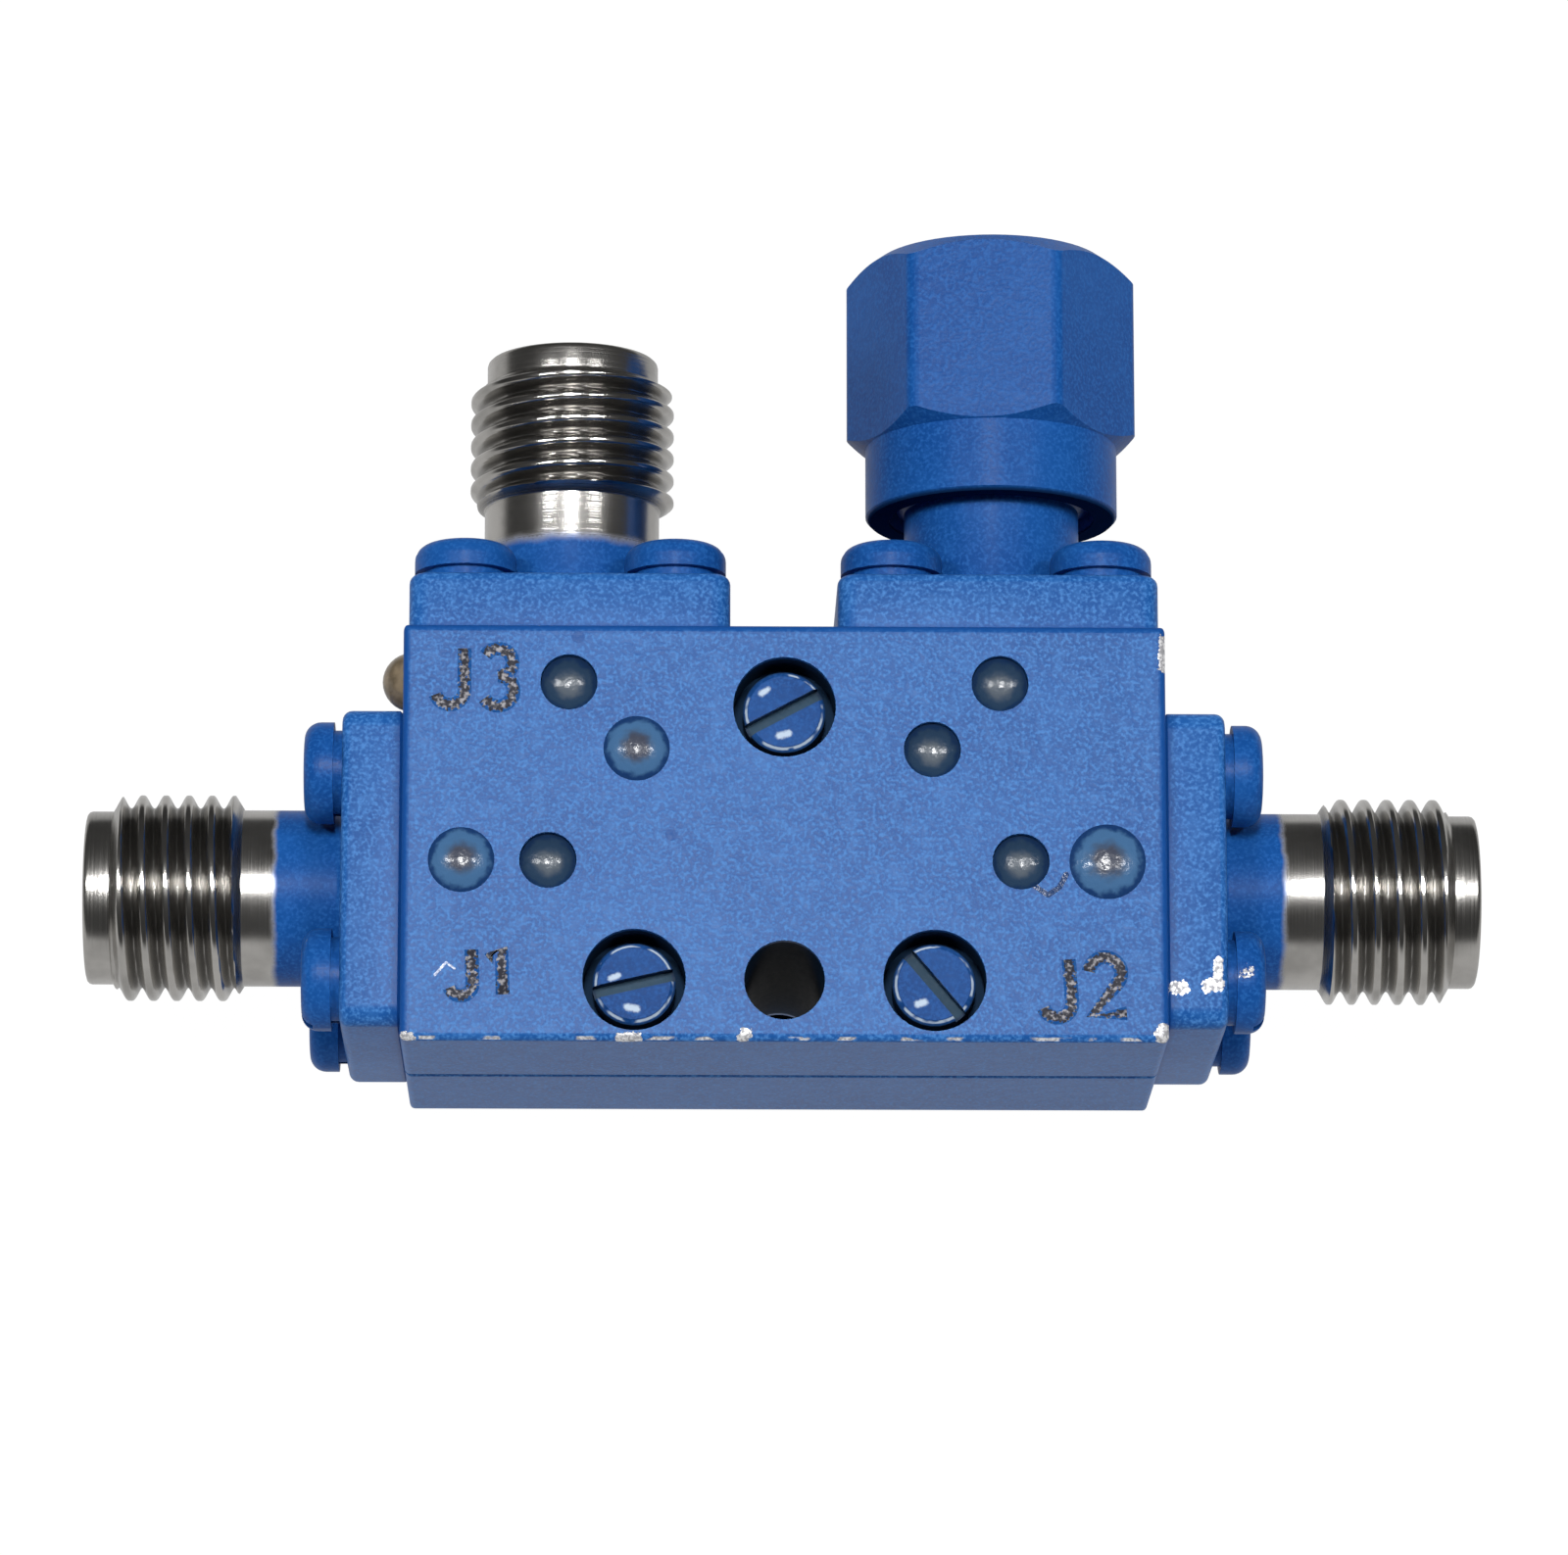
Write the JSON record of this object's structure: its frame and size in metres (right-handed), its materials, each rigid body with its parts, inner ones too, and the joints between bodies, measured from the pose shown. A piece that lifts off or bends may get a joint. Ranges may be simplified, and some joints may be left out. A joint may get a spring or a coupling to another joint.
{
  "type": "directional coupler",
  "caption": "Blue-painted stripline directional coupler with flange-mounted threaded coaxial jacks on three sides and a hex termination on its isolated port.",
  "frame": {"origin": "on the mounting hole's axis, at the back face", "axes": "+Z out of the front face along the mounting hole, +X towards the output jack, +Y towards the coupled jack"},
  "size_m": [0.0426, 0.0258, 0.0115],
  "materials": {
    "blue_paint": "fine-textured semi-gloss enamel",
    "steel": "passivated, turned",
    "ptfe": "waxy white",
    "copper": "bare copper",
    "gold": "gold plate",
    "resin": "clear poured resin",
    "gasket": "silicone",
    "ceramic": "film resistor"
  },
  "bodies": {
    "root": {"front_housing": "blue_paint", "rear_housing": "blue_paint", "housing_screws": "blue_paint", "load_nut": "blue_paint", "load_body": "blue_paint", "input_screws": "blue_paint", "input_washers": "blue_paint", "output_screws": "blue_paint", "output_washers": "blue_paint", "coupled_screws": "blue_paint", "coupled_washers": "blue_paint", "isolated_screws": "blue_paint", "isolated_washers": "blue_paint", "upper_board": "ptfe", "lower_board": "ptfe", "load_bead": "ptfe", "input_bead": "ptfe", "output_bead": "ptfe", "coupled_bead": "ptfe", "isolated_bead": "ptfe", "main_line": "copper", "coupled_line": "copper", "trim_screws": "steel", "input_jack": "steel", "output_jack": "steel", "coupled_jack": "steel", "isolated_jack": "steel", "resin_domes": "resin", "resin_fills": "resin", "side_resin": "resin", "load_pin": "gold", "input_contact": "gold", "output_contact": "gold", "coupled_contact": "gold", "isolated_contact": "gold", "load_gasket": "gasket", "load_resistor": "ceramic"}
  },
  "joints": []
}
